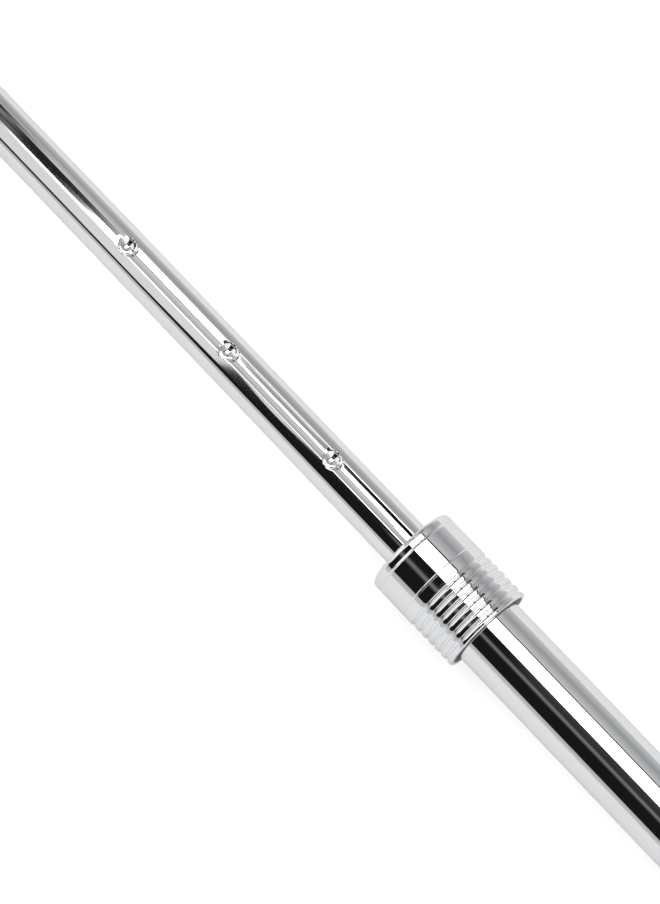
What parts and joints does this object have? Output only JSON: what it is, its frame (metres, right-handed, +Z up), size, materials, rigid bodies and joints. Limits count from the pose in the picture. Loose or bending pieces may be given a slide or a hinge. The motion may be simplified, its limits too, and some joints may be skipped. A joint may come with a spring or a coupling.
{
  "type": "golf ball retriever",
  "caption": "Telescopic chromed shaft with a ball-and-collar lock, a rubber grip with a hang tab, and a ball scoop with a spring latch.",
  "frame": {"origin": "on the ground under the middle of the tool as it lies, locked at its fourth detent", "axes": "+X along the shaft from the grip to the scoop, +Y across it, +Z up, out of the scoop's mouth and out of the detent groove"},
  "size_m": [1.0544, 0.0528, 0.0352],
  "materials": {
    "chrome_tube": "mirror bright chrome plate on drawn steel tube",
    "chrome_collar": "mirror bright chrome plate, finely turned",
    "polished_ball": "hardened and polished bearing steel",
    "spring_wire": "drawn spring steel wire",
    "pin_steel": "turned steel",
    "lock_casting": "zinc plated free-cutting steel",
    "black_plastic": "moulded acetal",
    "white_plastic": "moulded acetal, natural",
    "grip_rubber": "moulded rubber, fine diamond pattern",
    "black_rubber": "moulded rubber",
    "scoop_plastic": "moulded nylon, orange",
    "trim_ring": "turned and clear anodised"
  },
  "bodies": {
    "handle": {"outer_tube": "chrome_tube", "grip": "grip_rubber", "grip_ring": "trim_ring", "grip_cap": "black_rubber", "bumper": "black_rubber", "lock_body": "lock_casting", "guide_bush": "white_plastic", "lock_pins": "pin_steel", "spring_seat": "pin_steel", "collar_spring": "spring_wire"},
    "shaft": {"inner_tube": "chrome_tube", "tail_bush": "white_plastic", "tail_plug": "black_plastic", "tail_pin": "pin_steel", "ferrule": "black_plastic", "neck_rivet": "pin_steel", "scoop_cup": "scoop_plastic", "latch_pin": "pin_steel", "latch_spring": "spring_wire"},
    "collar": {"release_collar": "chrome_collar", "nose_ring": "chrome_collar", "nose_wiper": "black_plastic", "rear_wiper": "black_plastic"},
    "ball": {"lock_ball": "polished_ball"},
    "latch": {"latch": "black_plastic"}
  },
  "joints": [
    {"name": "tube_slide", "type": "slide", "parent": "handle", "child": "shaft", "axis": [1, 0, 0], "range_m": [-0.1143, 0.5715]},
    {"name": "collar_slide", "type": "slide", "parent": "handle", "child": "collar", "axis": [-1, 0, 0], "range_m": [0, 0.004], "stiffness_N_per_m": 150, "springref_m": -0.012, "deforming": ["collar_spring"]},
    {"name": "ball_lift", "type": "slide", "parent": "handle", "child": "ball", "axis": [0, 0, 1], "range_m": [0, 0.0008501]},
    {"name": "latch_hinge", "type": "hinge", "parent": "shaft", "child": "latch", "pos_m": [0.4738, 0, 0.03], "axis": [0, 1, 0], "range_deg": [0, 68], "stiffness_Nm_per_rad": 0.01, "springref_deg": -20.05, "deforming": ["latch_spring"]}
  ],
  "couplings": [
    {"joint": "ball_lift", "follows": "collar_slide", "ratio": 0.2125}
  ]
}
